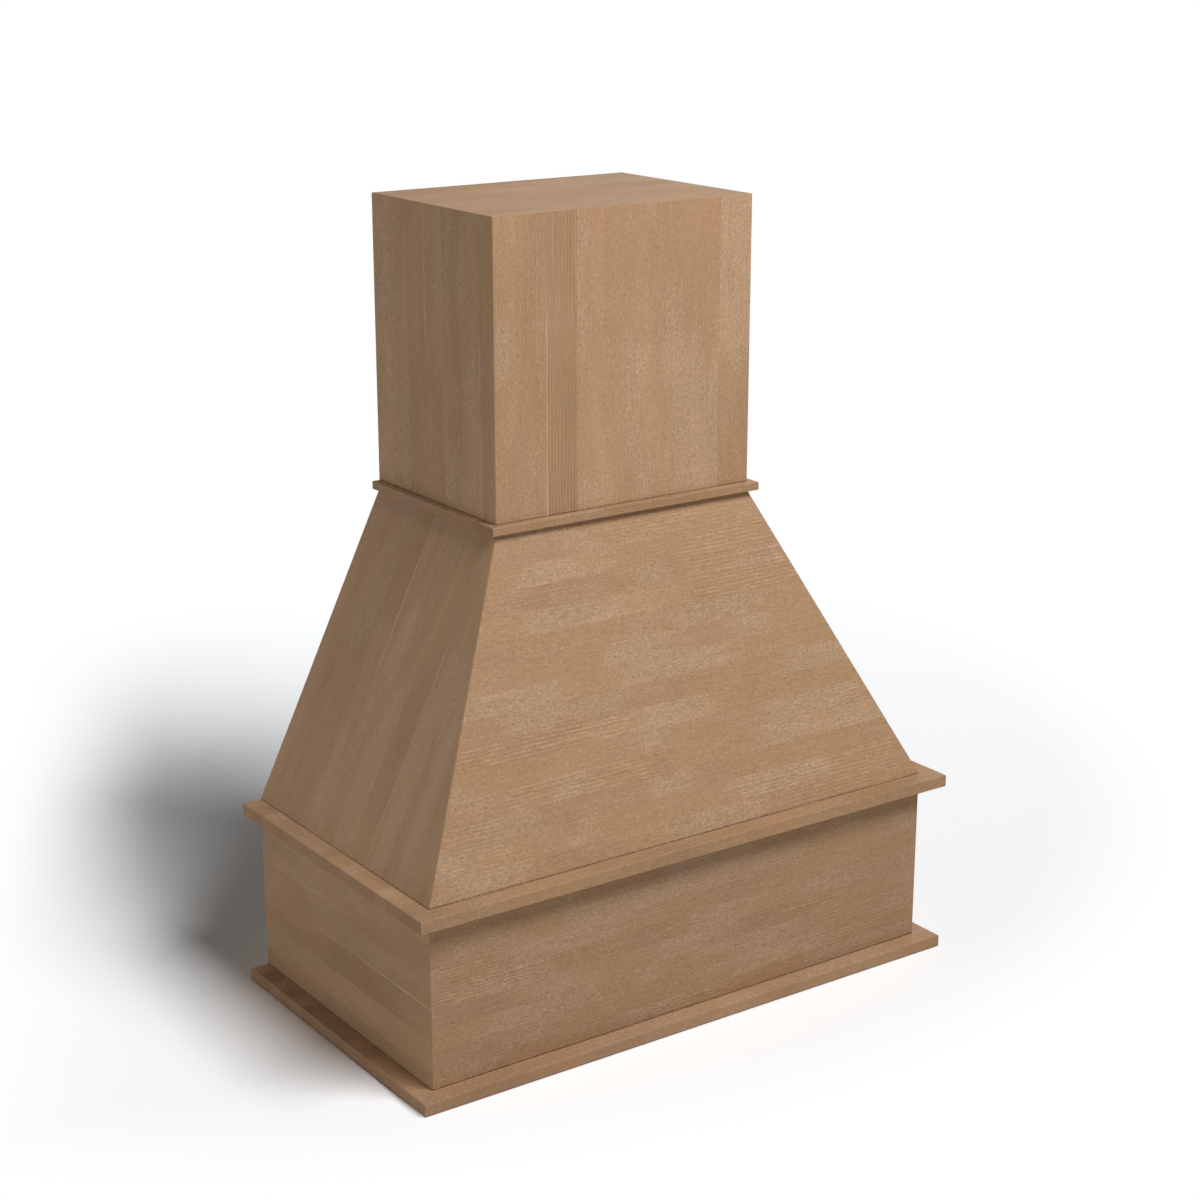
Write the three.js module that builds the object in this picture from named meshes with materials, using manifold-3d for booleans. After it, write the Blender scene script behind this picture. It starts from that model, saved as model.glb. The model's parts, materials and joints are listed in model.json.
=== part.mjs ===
// A wall-mounted wooden range hood cover: an apron between a base board and a shelf board,
// a canopy that tapers up to a collar board, and a closed chimney box on the collar.
// The back is open and stands against the wall, and battens inside tie the panels together.
// Millimetres, +Z up, the front faces -Y. The origin is at the middle of the footprint, at its foot.

import * as THREE from "three";
import { ConvexGeometry } from "three/addons/geometries/ConvexGeometry.js";
import { mergeVertices } from "three/addons/utils/BufferGeometryUtils.js";
import Module from "manifold-3d";

// Outside sizes
const HOOD_WIDTH = 914.4; // across the base board and the shelf board
const HOOD_DEPTH = 501.65; // from the wall to the front edge of those boards
const BOARD_OVERHANG = 28.5; // of those boards past the apron and the canopy's foot
const BASE_BOARD_THICKNESS = 18;
const APRON_HEIGHT = 244;
const SHELF_BOARD_THICKNESS = 18;
const CANOPY_HEIGHT = 437;
const COLLAR_THICKNESS = 12;
const COLLAR_OVERHANG = 12; // of the collar board past the chimney
const CHIMNEY_WIDTH = 431.8;
const CHIMNEY_DEPTH = 313;
const CHIMNEY_HEIGHT = 414;
const PANEL_THICKNESS = 18;
const ARRIS = 0.8; // flat sanded on every outer edge

// Battens inside
const CORNER_BLOCK_LEG = 30; // along each panel of a front corner
const CORNER_BLOCK_FLAT = 12; // of each leg's end, before the corner is cut off
const REAR_BLOCK_WIDTH = 30;
const REAR_BLOCK_DEPTH = 20;
const CLEAT_WIDTH = 20;
const CLEAT_HEIGHT = 30;
const LEDGE = 40; // of the base and shelf boards past the apron's inner faces
const COLLAR_LEDGE = 24; // of the collar board past the chimney's inner faces
const INSERT_RAIL_HEIGHT = 20;

// Rails across the open back
const RAIL_THICKNESS = 18;
const HANGING_RAIL_HEIGHT = 100;
const WALL_CLEAT_HEIGHT = 80;
const WALL_CLEAT_END_ROOM = 10; // at each end, to shift the hood along the cleat
const CANOPY_RAIL_HEIGHT = 80;
const APRON_RAIL_HEIGHT = 90;

// Screws that tie the rails to the rear blocks, and holes for screws into the wall
const SCREW_TIP_COVER = 5.5; // of wood left in front of a screw's tip
const SCREW_HEAD_RADIUS = 4;
const SCREW_HEAD_HEIGHT = 2.4;
const SCREW_SHANK_RADIUS = 2;
const SCREW_TIP_LENGTH = 7;
const SCREW_SINK = 0.5; // of the head below the rail's back
const SCREW_EDGE_DISTANCE = 20; // to the rail's upper and lower edges
const RECESS_LENGTH = 4.6;
const RECESS_WIDTH = 1.1;
const RECESS_DEPTH = 1.6;
const WALL_HOLE_RADIUS = 3;
const COUNTERSINK_RADIUS = 6.5;
const WALL_CLEAT_HOLE_PITCH = 140;
const STUD_PITCH = 406.4; // between the wall studs that the lower rails are screwed to

// Clearances
const JOINT_GAP = 0.3; // at a slanted joint
const HOLE_CLEARANCE = 0.3; // round a screw in its hole
const CUT_MARGIN = 1; // a cutting solid runs this far past the face that it opens
const ROUND_STEPS = 16;

// Heights of the stacked sections
const APRON_FOOT = BASE_BOARD_THICKNESS;
const SHELF_FOOT = APRON_FOOT + APRON_HEIGHT;
const CANOPY_FOOT = SHELF_FOOT + SHELF_BOARD_THICKNESS;
const COLLAR_FOOT = CANOPY_FOOT + CANOPY_HEIGHT;
const CHIMNEY_FOOT = COLLAR_FOOT + COLLAR_THICKNESS;
const TOP = CHIMNEY_FOOT + CHIMNEY_HEIGHT;

// Upright planes
const WALL_Y = HOOD_DEPTH / 2;
const RAIL_FRONT = WALL_Y - RAIL_THICKNESS;
const REAR_BLOCK_FRONT = RAIL_FRONT - REAR_BLOCK_DEPTH;
const SCREW_LENGTH = RAIL_THICKNESS + REAR_BLOCK_DEPTH - SCREW_SINK - SCREW_TIP_COVER;
const BODY_HALF_WIDTH = HOOD_WIDTH / 2 - BOARD_OVERHANG;
const BODY_FRONT = BOARD_OVERHANG - HOOD_DEPTH / 2;
const CHIMNEY_HALF_WIDTH = CHIMNEY_WIDTH / 2;
const CHIMNEY_FRONT = WALL_Y - CHIMNEY_DEPTH;

// How far the canopy's side and front panels lean in for each millimetre of height
const SIDE_LEAN = (BODY_HALF_WIDTH - CHIMNEY_HALF_WIDTH) / CANOPY_HEIGHT;
const FRONT_LEAN = (CHIMNEY_FRONT - BODY_FRONT) / CANOPY_HEIGHT;

const SIDES = [
  ["left", -1],
  ["right", 1],
];

const FINISHES = {
  panel: { color: 0xb19372, roughness: 0.55, metalness: 0 },
  batten: { color: 0xc9b58f, roughness: 0.7, metalness: 0 },
  screw: { color: 0xb8a06a, roughness: 0.35, metalness: 1 },
};

const wasm = await Module();
wasm.setup();

const point = (x, y, z) => new THREE.Vector3(x, y, z);

function piece(name, geometry, finish) {
  const mesh = new THREE.Mesh(geometry, new THREE.MeshStandardMaterial(FINISHES[finish]));
  mesh.name = name;
  return mesh;
}

function toSolid(geometry) {
  const bare = geometry.clone();
  bare.deleteAttribute("normal");
  bare.deleteAttribute("uv");
  const merged = mergeVertices(bare);
  return new wasm.Manifold(
    new wasm.Mesh({
      numProp: 3,
      vertProperties: new Float32Array(merged.attributes.position.array),
      triVerts: new Uint32Array(merged.index.array),
    }),
  );
}

function toGeometry(solid) {
  const { vertProperties, triVerts } = solid.getMesh();
  const geometry = new THREE.BufferGeometry();
  geometry.setAttribute("position", new THREE.BufferAttribute(vertProperties, 3));
  geometry.setIndex(new THREE.BufferAttribute(triVerts, 1));
  geometry.computeVertexNormals();
  return geometry;
}

// The geometry with each tool cut out of it.
function cut(geometry, tools) {
  return toGeometry(tools.reduce((solid, tool) => solid.subtract(toSolid(tool)), toSolid(geometry)));
}

const rectangle = ([left, right], [front, back], z) => [
  point(left, front, z),
  point(right, front, z),
  point(right, back, z),
  point(left, back, z),
];

const block = (acrossX, acrossY, [low, high]) =>
  new ConvexGeometry([...rectangle(acrossX, acrossY, low), ...rectangle(acrossX, acrossY, high)]);

// A level is a cut across a section at one height: where its outer faces are, how far its
// panels run inwards there, and the gap that a batten keeps to a panel that leans.
function uprightLevel(z, halfWidth, front) {
  return { z, halfWidth, front, sideRun: PANEL_THICKNESS, frontRun: PANEL_THICKNESS, gap: 0 };
}

const apronLevel = (z) => uprightLevel(z, BODY_HALF_WIDTH, BODY_FRONT);
const chimneyLevel = (z) => uprightLevel(z, CHIMNEY_HALF_WIDTH, CHIMNEY_FRONT);

function canopyLevel(z) {
  const rise = z - CANOPY_FOOT;
  return {
    z,
    halfWidth: BODY_HALF_WIDTH - SIDE_LEAN * rise,
    front: BODY_FRONT + FRONT_LEAN * rise,
    sideRun: PANEL_THICKNESS * Math.hypot(1, SIDE_LEAN),
    frontRun: PANEL_THICKNESS * Math.hypot(1, FRONT_LEAN),
    gap: JOINT_GAP,
  };
}

const innerX = (level) => level.halfWidth - level.sideRun - level.gap;
const innerY = (level) => level.front + level.frontRun + level.gap;

// foot and head are where the battens inside a section end.
const APRON = { name: "apron", levelAt: apronLevel, foot: APRON_FOOT, head: SHELF_FOOT };
const CANOPY = { name: "canopy", levelAt: canopyLevel, foot: CANOPY_FOOT, head: COLLAR_FOOT };
const CHIMNEY = {
  name: "chimney",
  levelAt: chimneyLevel,
  foot: CHIMNEY_FOOT,
  head: TOP - PANEL_THICKNESS,
};

// A straight-sided solid between the outlines that outlineAt draws at two levels.
function loft(section, outlineAt, low = section.foot, high = section.head) {
  const levels = [low, high].map(section.levelAt);
  return new ConvexGeometry(levels.flatMap((level) => outlineAt(level, levels)));
}

// The side and front panels meet in a mitre, and the arris takes off its sharp tip.
function mitreTip({ halfWidth, front, sideRun, frontRun }) {
  const share = ARRIS / (sideRun + frontRun);
  return [halfWidth - share * sideRun, front + share * frontRun];
}

function sidePanelOutline(level, sign) {
  const [tipX, tipY] = mitreTip(level);
  const inside = level.halfWidth - level.sideRun;
  return [
    point(sign * level.halfWidth, WALL_Y, level.z),
    point(sign * level.halfWidth, level.front + ARRIS, level.z),
    point(sign * tipX, tipY, level.z),
    point(sign * inside, level.front + level.frontRun, level.z),
    point(sign * inside, WALL_Y, level.z),
  ];
}

function frontPanelOutline(level) {
  const [tipX, tipY] = mitreTip(level);
  const inside = level.halfWidth - level.sideRun;
  return [-1, 1].flatMap((sign) => [
    point(sign * (level.halfWidth - ARRIS), level.front, level.z),
    point(sign * (tipX - level.gap), tipY, level.z),
    point(sign * (inside - level.gap), level.front + level.frontRun, level.z),
  ]);
}

function wallPanels(section) {
  const panels = SIDES.map(([side, sign]) =>
    piece(
      `${section.name}_${side}_panel`,
      loft(section, (level) => sidePanelOutline(level, sign)),
      "panel",
    ),
  );
  panels.push(piece(`${section.name}_front_panel`, loft(section, frontPanelOutline), "panel"));
  return panels;
}

// The corners of the chimney's plan, drawn in from its left, front and right faces by inset.
function chimneyRing(inset, z) {
  const x = CHIMNEY_HALF_WIDTH - inset;
  const front = CHIMNEY_FRONT + inset;
  return {
    front: [point(-x, front, z), point(x, front, z)],
    wall: [point(-x, WALL_Y, z), point(x, WALL_Y, z)],
  };
}

// The chimney's three walls and its top meet in mitres, so that no board's edge shows.
function chimneyPanels() {
  const face = chimneyRing(ARRIS, TOP);
  const tip = chimneyRing(ARRIS / 2, TOP - ARRIS / 2);
  const inside = chimneyRing(PANEL_THICKNESS, TOP - PANEL_THICKNESS);
  const foot = chimneyLevel(CHIMNEY_FOOT);
  const edge = TOP - ARRIS;

  const sidePanels = SIDES.map(([side, sign], i) => {
    const corners = [
      ...sidePanelOutline(foot, sign),
      point(sign * CHIMNEY_HALF_WIDTH, WALL_Y, edge),
      point(sign * CHIMNEY_HALF_WIDTH, CHIMNEY_FRONT + ARRIS, edge),
      ...[tip, inside].flatMap((ring) => [ring.front[i], ring.wall[i]]),
    ];
    return piece(`chimney_${side}_panel`, new ConvexGeometry(corners), "panel");
  });
  const frontCorners = [
    ...frontPanelOutline(foot),
    point(ARRIS - CHIMNEY_HALF_WIDTH, CHIMNEY_FRONT, edge),
    point(CHIMNEY_HALF_WIDTH - ARRIS, CHIMNEY_FRONT, edge),
    ...tip.front,
    ...inside.front,
  ];
  const topCorners = [face, tip, inside].flatMap((ring) => [...ring.front, ...ring.wall]);
  return [
    ...sidePanels,
    piece("chimney_front_panel", new ConvexGeometry(frontCorners), "panel"),
    piece("chimney_top_panel", new ConvexGeometry(topCorners), "panel"),
  ];
}

// A flat board with its back edge on the wall plane, arrises all round, and a rectangular hole.
function frameBoard(name, foot, thickness, halfWidth, front, hole) {
  const head = foot + thickness;
  const rings = [
    [foot, ARRIS],
    [foot + ARRIS, 0],
    [head - ARRIS, 0],
    [head, ARRIS],
  ];
  const corners = rings.flatMap(([z, inset]) => {
    const x = halfWidth - inset;
    return rectangle([-x, x], [front + inset, WALL_Y - inset], z);
  });
  const through = block(
    [-hole.halfWidth, hole.halfWidth],
    [hole.front, hole.back],
    [foot - CUT_MARGIN, head + CUT_MARGIN],
  );
  return piece(name, cut(new ConvexGeometry(corners), [through]), "panel");
}

// The hole in a board under or over a section: a ledge all round inside the panels and the rail.
function holeInside(level, ledge) {
  return {
    halfWidth: innerX(level) - ledge,
    front: innerY(level) + ledge,
    back: RAIL_FRONT - ledge,
  };
}

function widthBoards() {
  const hole = holeInside(apronLevel(APRON_FOOT), LEDGE);
  const place = [HOOD_WIDTH / 2, -HOOD_DEPTH / 2, hole];
  return [
    frameBoard("base_board", 0, BASE_BOARD_THICKNESS, ...place),
    frameBoard("shelf_board", SHELF_FOOT, SHELF_BOARD_THICKNESS, ...place),
  ];
}

function collarBoard() {
  return frameBoard(
    "collar_board",
    COLLAR_FOOT,
    COLLAR_THICKNESS,
    CHIMNEY_HALF_WIDTH + COLLAR_OVERHANG,
    CHIMNEY_FRONT - COLLAR_OVERHANG,
    holeInside(chimneyLevel(CHIMNEY_FOOT), COLLAR_LEDGE),
  );
}

// A five-sided batten glued into a front corner.
function cornerBlockOutline(level, sign) {
  const leg = CORNER_BLOCK_LEG;
  const flat = CORNER_BLOCK_FLAT;
  const steps = [[0, 0], [leg, 0], [leg, flat], [flat, leg], [0, leg]];
  return steps.map(([across, back]) =>
    point(sign * (innerX(level) - across), innerY(level) + back, level.z),
  );
}

// A batten on a side panel, just in front of the rails that are screwed to it.
function rearBlockOutline(level, sign) {
  const outer = sign * innerX(level);
  const inner = sign * (innerX(level) - REAR_BLOCK_WIDTH);
  return [outer, inner].flatMap((x) => [
    point(x, REAR_BLOCK_FRONT, level.z),
    point(x, RAIL_FRONT, level.z),
  ]);
}

// Battens along the panels stop square, clear of the corner block and of each other.
const cleatSetback = (level) => Math.max(CORNER_BLOCK_LEG, CLEAT_WIDTH) + level.gap;

// A batten along a side panel, as far back as the rear block. Its inner face is upright.
function sideCleatOutline(level, levels, sign) {
  const inner = Math.min(...levels.map(innerX)) - CLEAT_WIDTH;
  const front = Math.max(...levels.map(innerY)) + cleatSetback(level);
  return [innerX(level), inner].flatMap((x) => [
    point(sign * x, front, level.z),
    point(sign * x, REAR_BLOCK_FRONT, level.z),
  ]);
}

// A batten along the front panel. Its inner face is upright too.
function frontCleatOutline(level, levels) {
  const inner = Math.max(...levels.map(innerY)) + CLEAT_WIDTH;
  const end = Math.min(...levels.map(innerX)) - cleatSetback(level);
  return [innerY(level), inner].flatMap((y) => [point(-end, y, level.z), point(end, y, level.z)]);
}

function cornerBlocks(section) {
  return SIDES.map(([side, sign]) =>
    piece(
      `${section.name}_corner_block_${side}`,
      loft(section, (level) => cornerBlockOutline(level, sign)),
      "batten",
    ),
  );
}

function rearBlocks(section, holes) {
  return SIDES.map(([side, sign]) => {
    const batten = loft(section, (level) => rearBlockOutline(level, sign));
    return piece(`${section.name}_rear_block_${side}`, cut(batten, holes[side]), "batten");
  });
}

// Cleats along the panels, at a section's foot or under its head.
function cleats(section, end, withFront = true) {
  const low = end === "foot" ? section.foot : section.head - CLEAT_HEIGHT;
  const high = low + CLEAT_HEIGHT;
  const made = SIDES.map(([side, sign]) =>
    piece(
      `${section.name}_${end}_cleat_${side}`,
      loft(section, (level, levels) => sideCleatOutline(level, levels, sign), low, high),
      "batten",
    ),
  );
  if (withFront) {
    const front = loft(section, frontCleatOutline, low, high);
    made.push(piece(`${section.name}_${end}_cleat_front`, front, "batten"));
  }
  return made;
}

// Battens on the base board round its hole, which double its thickness for the ventilator's screws.
function insertRails() {
  const level = apronLevel(APRON_FOOT);
  const outerX = innerX(level);
  const outerY = innerY(level);
  const height = [APRON_FOOT, APRON_FOOT + INSERT_RAIL_HEIGHT];
  const frontEnd = outerX - CORNER_BLOCK_LEG;
  const backEnd = outerX - REAR_BLOCK_WIDTH;
  const sideRun = [
    outerY + Math.max(LEDGE, CORNER_BLOCK_LEG),
    RAIL_FRONT - Math.max(LEDGE, REAR_BLOCK_DEPTH),
  ];
  const rails = {
    front: block([-frontEnd, frontEnd], [outerY, outerY + LEDGE], height),
    back: block([-backEnd, backEnd], [RAIL_FRONT - LEDGE, RAIL_FRONT], height),
    left: block([-outerX, LEDGE - outerX], sideRun, height),
    right: block([outerX - LEDGE, outerX], sideRun, height),
  };
  return Object.entries(rails).map(([side, rail]) => piece(`insert_rail_${side}`, rail, "batten"));
}

// A solid of revolution about the Y axis, from radius and distance pairs.
function turned(profile) {
  return new THREE.LatheGeometry(
    profile.map(([radius, along]) => new THREE.Vector2(radius, along)),
    ROUND_STEPS,
  );
}

// A countersunk wood screw that points towards -Y, with the face of its head at y = 0.
function screwGeometry() {
  const shaft = turned([
    [0, -SCREW_LENGTH],
    [SCREW_SHANK_RADIUS, SCREW_TIP_LENGTH - SCREW_LENGTH],
    [SCREW_SHANK_RADIUS, -SCREW_HEAD_HEIGHT],
    [SCREW_HEAD_RADIUS, 0],
    [0, 0],
  ]);
  const arms = [
    [RECESS_LENGTH, RECESS_WIDTH],
    [RECESS_WIDTH, RECESS_LENGTH],
  ];
  return cut(
    shaft,
    arms.map(([across, up]) => new THREE.BoxGeometry(across, 2 * RECESS_DEPTH, up)),
  );
}

function screwHole([x, z]) {
  const shank = SCREW_SHANK_RADIUS + HOLE_CLEARANCE;
  const head = SCREW_HEAD_RADIUS + HOLE_CLEARANCE;
  return turned([
    [0, -SCREW_LENGTH - HOLE_CLEARANCE],
    [shank, SCREW_TIP_LENGTH - SCREW_LENGTH],
    [shank, -SCREW_HEAD_HEIGHT - HOLE_CLEARANCE],
    [head, -HOLE_CLEARANCE],
    [head, SCREW_SINK + CUT_MARGIN],
    [0, SCREW_SINK + CUT_MARGIN],
  ]).translate(x, WALL_Y - SCREW_SINK, z);
}

// A hole through a rail for a screw into the wall, countersunk on the room side.
function wallHole([x, z]) {
  const slope = COUNTERSINK_RADIUS - WALL_HOLE_RADIUS;
  return turned([
    [0, -RAIL_THICKNESS - CUT_MARGIN],
    [COUNTERSINK_RADIUS, -RAIL_THICKNESS - CUT_MARGIN],
    [COUNTERSINK_RADIUS, -RAIL_THICKNESS],
    [WALL_HOLE_RADIUS, slope - RAIL_THICKNESS],
    [WALL_HOLE_RADIUS, CUT_MARGIN],
    [0, CUT_MARGIN],
  ]).translate(x, WALL_Y, z);
}

// Where a rail is screwed to the rear blocks: two heights at each end, down each block's middle.
function screwPlaces(section, low, high) {
  const heights = { lower: low + SCREW_EDGE_DISTANCE, upper: high - SCREW_EDGE_DISTANCE };
  return SIDES.flatMap(([side, sign]) =>
    Object.entries(heights).map(([row, z]) => {
      const middle = innerX(section.levelAt(z)) - REAR_BLOCK_WIDTH / 2;
      return { side, row, at: [sign * middle, z] };
    }),
  );
}

function screws(rail, places) {
  return places.map(({ side, row, at: [x, z] }) => {
    const screw = piece(`${rail}_screw_${side}_${row}`, screwGeometry(), "screw");
    screw.position.set(x, WALL_Y - SCREW_SINK, z);
    return screw;
  });
}

// A rail with its screws, and the rear blocks that they are driven into.
function railAssembly(section, name, rail, places, wallHoles) {
  const holes = { left: [], right: [] };
  for (const place of places) holes[place.side].push(screwHole(place.at));
  const tools = [...holes.left, ...holes.right, ...wallHoles];
  return [
    piece(name, cut(rail, tools), "batten"),
    ...screws(name, places),
    ...rearBlocks(section, holes),
  ];
}

// A plain rail between the side panels, standing on the board under its section.
function footRail(section, name, height) {
  const low = section.foot;
  const high = low + height;
  const rail = loft(
    section,
    (level) =>
      [-1, 1].flatMap((sign) => [
        point(sign * innerX(level), RAIL_FRONT, level.z),
        point(sign * innerX(level), WALL_Y, level.z),
      ]),
    low,
    high,
  );
  const middle = low + height / 2;
  const wallHoles = [-STUD_PITCH / 2, STUD_PITCH / 2].map((x) => wallHole([x, middle]));
  return railAssembly(section, name, rail, screwPlaces(section, low, high), wallHoles);
}

// A bar across the back, from edge heights at its room side and at its wall side.
function bevelledBar(halfLength, room, wall) {
  const corners = [-halfLength, halfLength].flatMap((x) => [
    ...room.map((z) => point(x, RAIL_FRONT, z)),
    ...wall.map((z) => point(x, WALL_Y, z)),
  ]);
  return new ConvexGeometry(corners);
}

// The chimney's hanging rail hooks over a cleat on the wall: both are cut at 45 degrees.
function hangingRail() {
  const high = CHIMNEY.head;
  const low = high - HANGING_RAIL_HEIGHT;
  const halfLength = innerX(chimneyLevel(high));
  const roomLow = low + RAIL_THICKNESS;
  const rail = bevelledBar(halfLength, [roomLow, high], [low, high]);
  const places = screwPlaces(CHIMNEY, roomLow, high);
  return railAssembly(CHIMNEY, "hanging_rail", rail, places, []);
}

function wallCleat() {
  const wallHigh = CHIMNEY.head - HANGING_RAIL_HEIGHT - JOINT_GAP;
  const low = wallHigh - WALL_CLEAT_HEIGHT;
  const halfLength = innerX(chimneyLevel(low)) - WALL_CLEAT_END_ROOM;
  const bar = bevelledBar(halfLength, [low, wallHigh + RAIL_THICKNESS], [low, wallHigh]);
  const middle = low + WALL_CLEAT_HEIGHT / 2;
  const places = [-1, 0, 1].map((step) => [step * WALL_CLEAT_HOLE_PITCH, middle]);
  return piece("wall_cleat", cut(bar, places.map(wallHole)), "batten");
}

function group(...pieces) {
  const made = new THREE.Group();
  made.add(...pieces);
  return made;
}

const apron = group(
  ...wallPanels(APRON),
  ...cornerBlocks(APRON),
  ...cleats(APRON, "head"),
  ...footRail(APRON, "apron_rail", APRON_RAIL_HEIGHT),
  ...insertRails(),
);
const canopy = group(
  ...wallPanels(CANOPY),
  ...cornerBlocks(CANOPY),
  ...cleats(CANOPY, "foot"),
  ...cleats(CANOPY, "head"),
  ...footRail(CANOPY, "canopy_rail", CANOPY_RAIL_HEIGHT),
);
const chimney = group(
  ...chimneyPanels(),
  ...cornerBlocks(CHIMNEY),
  ...cleats(CHIMNEY, "foot"),
  ...cleats(CHIMNEY, "head", false),
  ...hangingRail(),
  wallCleat(),
);

export default group(apron, canopy, chimney, ...widthBoards(), collarBoard());
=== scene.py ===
"""The looks of a wooden range hood cover: edge-glued alder panels, poplar battens and plated screws."""

import json
import math

import bpy
from mathutils import Matrix, Vector


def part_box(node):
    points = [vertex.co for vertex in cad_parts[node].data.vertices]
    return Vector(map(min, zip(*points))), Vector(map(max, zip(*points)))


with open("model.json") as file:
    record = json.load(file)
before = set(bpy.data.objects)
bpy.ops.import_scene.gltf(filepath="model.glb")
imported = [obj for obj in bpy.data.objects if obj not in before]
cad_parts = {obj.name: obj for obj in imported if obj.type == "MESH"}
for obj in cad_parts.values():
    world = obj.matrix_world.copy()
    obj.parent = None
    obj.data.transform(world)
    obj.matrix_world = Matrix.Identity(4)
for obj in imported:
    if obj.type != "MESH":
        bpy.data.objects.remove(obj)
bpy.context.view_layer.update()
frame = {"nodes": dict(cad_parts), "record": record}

MM = 0.001  # metres in a millimetre

# Camera, in millimetres from the middle of the cover's foot
CAMERA_PLACE = (-1844.194, -2623.621, 1544.218)
CAMERA_TARGET = (-35.21, -49.175, 589.61)
CAMERA_ROLL = math.radians(0.036)
LENS = 69.889
SENSOR = 36
CLIP_END = 200  # metres, past the floor's rim

# Lamps, in metres and watts: a high soft box in front, and low ones round the cover that fill its shades
AIM = Vector((0, 0, 0.5))
KEY_PLACE = Vector((0.7, -2.45, 3.7))
KEY_WIDTH = 2.4
KEY_HEIGHT = 1.45
KEY_POWER = 143
FILL_WIDTH = 2.6
FILL_HEIGHT = 1.4
FILLS = {
    "rear_left_lamp": (Vector((-3.6, 3.0, 0.8)), 42),
    "front_left_lamp": (Vector((-2.7, -3.0, 0.9)), 17),
    "rear_right_lamp": (Vector((3.2, 3.0, 1.2)), 34),
}
SKY_STRENGTH = 0.055

# The floor, in metres
FLOOR_SHADE = 0.85  # of the light that falls on the floor, the share that lights the cover from below
FLOOR_SEEN = 0.868  # how bright the floor looks under the key lamp alone, where 1 is white
FLOOR_TINT = (0.98, 1, 1.02)  # a little cool, which evens out the warm light that the wood throws on it
FLOOR_RADIUS = 40
FLOOR_CORNERS = 64
FLOOR_DROP = 0.0004  # below the cover's foot
# It turns plain white away from a place behind the cover, and past a line along its shadow's left side
GLOW_MIDDLE = (0.11, 0.99, 0)
GLOW_FROM = 1.27
GLOW_TO = 1.53
SIDE_GLOW_WAY = (-0.897, 0.442, 0)
SIDE_GLOW_FROM = 0.66
SIDE_GLOW_TO = 0.96

# Alder, edge-glued, sanded and sealed matt: a warm light brown with hardly any shine, which fine pores,
# ray flecks and growth lines break up, so that each stave reads as a piece of its own
ALDER_WARM = "#b18c6d"
ALDER_YELLOW = "#b28f6b"
ALDER_PALE = "#b7997d"
ALDER_GLUE = "#cfb38f"
ALDER_END = "#8f6d4e"

# Poplar, planed and left bare: paler and yellower than the alder, with a plain, even grain
POPLAR_WARM = "#ceb390"
POPLAR_YELLOW = "#cdb58f"
POPLAR_PALE = "#d8c5a6"
POPLAR_GLUE = "#d8c5a6"
POPLAR_END = "#a88f6c"

WOOD_IOR = 1.5
MATT = 0.1  # of the seal's shine, which dust-dry wood mostly breaks up
WOOD_ROUGHNESS = {"To Min": 0.55, "To Max": 0.7}

# Yellow zinc plate
ZINC_DARK = "#a98f4e"
ZINC_LIGHT = "#d8c283"
ZINC_ROUGHNESS = {"To Min": 0.25, "To Max": 0.5}
ZINC_GRIT = 1.5  # mm

# Settings of a map range node: with soft ends, and without ends. A falling one starts at 1 and ends at 0.
SOFT = {"interpolation_type": "SMOOTHSTEP"}
FREE = {"clamp": False}
FALLING = {"To Min": 1, "To Max": 0}


def linear(code):
    """An sRGB hex colour as the linear colour that a shader takes."""
    parts = [int(code[i:i + 2], 16) / 255 for i in (1, 3, 5)]
    return [p / 12.92 if p <= 0.04045 else ((p + 0.055) / 1.055) ** 2.4 for p in parts] + [1]


def add(tree, kind, settings=None, inputs=None):
    """One shader node. An input is a number, a colour, another node or one of its outputs."""
    made = tree.nodes.new(kind if kind.startswith("Node") else "ShaderNode" + kind)
    for name, value in (settings or {}).items():
        setattr(made, name, value)
    for key, value in (inputs or {}).items():
        if isinstance(value, bpy.types.Node):
            value = next(output for output in value.outputs if output.enabled)
        if isinstance(value, bpy.types.NodeSocket):
            tree.links.new(value, made.inputs[key])
        else:
            made.inputs[key].default_value = value
    return made


# ---------------------------------------------------------------- wood

# Sizes of the marks in the wood, in millimetres: along the grain, across it, and into it
FIBRE = (26, 1.7, 1.7)  # drawn coarser than it is, so that it shows
STREAK = (110, 4.5, 4.5)
CURL = (7, 3.2, 3.2)  # short pale curls, where the grain dips in and out of the face
GRIT = (4.4, 2.1, 2.1)  # pores and torn fibres, also drawn coarser
BLOCK = (15, 9, 9)  # ray flecks, which break up the growth lines
CLOUD = (80, 42, 42)
DRIFT = (170, 60, 60)
DRIFT_REACH = 5  # how far the growth lines wander sideways, all together
STREAK_REACH = 5  # and how far each one does
SMUDGE_PITCH = 130
SMUDGE_SIZE = 13
OWN_SHIFT = (700, 90, 50)  # so that no two staves are cut from the same place
STAVE_FADE = 0.5  # the soft edge of a stave that stands out
GLUE_CORE = 0.3  # from a joint to where its glue starts to fade
GLUE_SIZE = 1.5  # from a joint to where its glue no longer shows
ALONG_FADE = 60  # how far a glue line, or a stave that stands out, takes to fade along the grain
JOINT_SIZE = 0.9  # half of the thin dark line where two staves meet, drawn wider than it is
SEAM_AND_SHADE_SIZE = 2.2  # the dark line at a panel's foot where it meets a board, or where the base board meets the floor: partly a real fine joint, partly painted contact shade
RELIEF_SIZE = 0.3
RELIEF_STRENGTH = 0.35

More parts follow.
